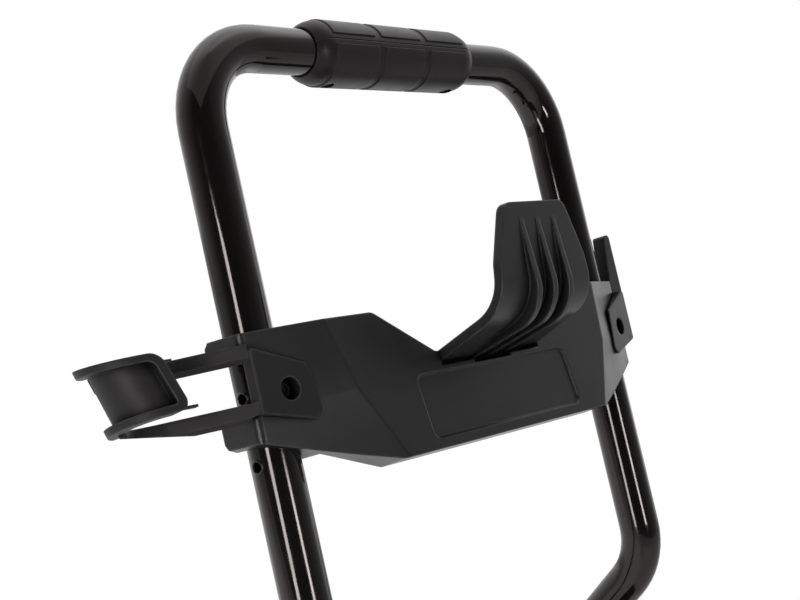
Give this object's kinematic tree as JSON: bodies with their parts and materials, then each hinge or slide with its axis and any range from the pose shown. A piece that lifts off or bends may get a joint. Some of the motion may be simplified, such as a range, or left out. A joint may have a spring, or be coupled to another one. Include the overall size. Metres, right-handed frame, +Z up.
{
  "type": "pressure washer trolley",
  "caption": "Upright tube trolley for a pressure washer: leaning grip handle, hose-hook bracket, gun and cable holders, deck and rear wheels",
  "frame": {"origin": "on the floor under the middle of the trolley's bounding box", "axes": "+Z up, front with the hook and the deck's nose towards -Y, wheels' axle along X"},
  "size_m": [0.539, 0.452, 0.9256],
  "materials": {
    "frame_paint": "gloss black powder coat",
    "grip_plastic": "matt soft-touch black",
    "moulding": "matt charcoal, fine moulded grain",
    "black_screw": "black oxide",
    "zinc_steel": "bright zinc plate",
    "foot_rubber": "matt black rubber",
    "tyre": "black moulded tread",
    "rim_plastic": "satin charcoal",
    "bush_plastic": "natural nylon"
  },
  "bodies": {
    "trolley": {"handle_frame": "frame_paint", "base_frame": "frame_paint", "cross_brace": "frame_paint", "grip_upper_shell": "grip_plastic", "grip_lower_shell": "grip_plastic", "front_cover": "moulding", "hook_bracket": "moulding", "gun_holder": "moulding", "cable_hook": "moulding", "deck": "moulding", "grip_screws": "black_screw", "bracket_screws": "black_screw", "holder_bolts": "black_screw", "holder_nuts": "zinc_steel", "joint_sleeves": "zinc_steel", "frame_bolts": "zinc_steel", "frame_nuts": "zinc_steel", "deck_screws": "zinc_steel", "foot_screws": "zinc_steel", "axle": "zinc_steel", "axle_spacers": "zinc_steel", "axle_washers": "zinc_steel", "axle_caps": "zinc_steel", "foot_left": "foot_rubber", "foot_right": "foot_rubber"},
    "left_wheel": {"wheel_rim_left": "rim_plastic", "wheel_tyre_left": "tyre", "wheel_bush_left": "bush_plastic", "hub_cap_left": "rim_plastic"},
    "right_wheel": {"wheel_rim_right": "rim_plastic", "wheel_tyre_right": "tyre", "wheel_bush_right": "bush_plastic", "hub_cap_right": "rim_plastic"}
  },
  "joints": [
    {"name": "left_wheel_spin", "type": "hinge", "parent": "trolley", "child": "left_wheel", "pos_m": [-0.224, 0.126, 0.1], "axis": [1, 0, 0], "continuous": true},
    {"name": "right_wheel_spin", "type": "hinge", "parent": "trolley", "child": "right_wheel", "pos_m": [0.224, 0.126, 0.1], "axis": [1, 0, 0], "continuous": true}
  ]
}
